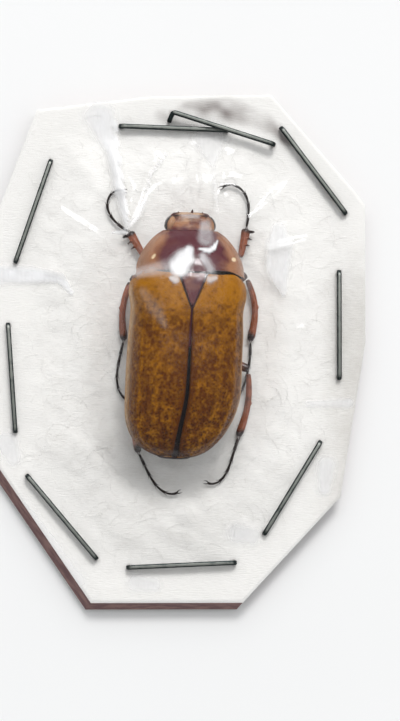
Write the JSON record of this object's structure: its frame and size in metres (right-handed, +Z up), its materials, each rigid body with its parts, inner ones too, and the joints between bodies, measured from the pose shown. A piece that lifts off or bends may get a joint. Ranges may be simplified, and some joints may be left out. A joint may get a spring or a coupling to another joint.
{
  "type": "gnathocera flower beetle",
  "caption": "Life-size dried flower beetle with tan wing cases, lying on cotton under clear film in a stapled card packet.",
  "frame": {"origin": "on the surface that the packet rests on, under the middle of the packet", "axes": "+Y towards the beetle's head, along the packet's long side; +X to the beetle's right; +Z up, out of its back"},
  "size_m": [0.0321, 0.0443, 0.0095],
  "materials": {
    "wing_case": "tan insect shell with rows of dark pits, satin gloss",
    "red_shell": "dark reddish brown insect shell, glossy",
    "black_shell": "black insect shell, glossy",
    "leg_shell": "reddish brown insect shell, glossy",
    "eye": "dark compound eye, glossy",
    "card": "white-faced card with a brown cut edge, matte",
    "cotton": "soft white fibre layer, matte",
    "film": "thin clear plastic film, creased and glossy",
    "steel": "bright steel staple wire"
  },
  "bodies": {
    "root": {"head": "red_shell", "eye_left": "eye", "eye_right": "eye", "antenna_left": "leg_shell", "antenna_right": "leg_shell", "palp_left": "leg_shell", "palp_right": "leg_shell", "pronotum": "red_shell", "scutellum": "red_shell", "wing_case_left": "wing_case", "wing_case_right": "wing_case", "thorax": "red_shell", "abdomen": "black_shell", "pygidium": "red_shell", "leg_front_left_femur": "leg_shell", "leg_front_left_tibia": "leg_shell", "leg_front_left_foot": "black_shell", "leg_front_right_femur": "leg_shell", "leg_front_right_tibia": "leg_shell", "leg_front_right_foot": "black_shell", "leg_middle_left_femur": "leg_shell", "leg_middle_left_tibia": "leg_shell", "leg_middle_left_foot": "black_shell", "leg_middle_right_femur": "leg_shell", "leg_middle_right_tibia": "leg_shell", "leg_middle_right_foot": "black_shell", "leg_hind_left_femur": "leg_shell", "leg_hind_left_tibia": "leg_shell", "leg_hind_left_foot": "black_shell", "leg_hind_right_femur": "leg_shell", "leg_hind_right_tibia": "leg_shell", "leg_hind_right_foot": "black_shell", "packet_card": "card", "packet_cotton": "cotton", "packet_film": "film", "packet_staple_1": "steel", "packet_staple_2": "steel", "packet_staple_3": "steel", "packet_staple_4": "steel", "packet_staple_5": "steel", "packet_staple_6": "steel", "packet_staple_7": "steel", "packet_staple_8": "steel", "packet_staple_9": "steel"}
  },
  "joints": []
}
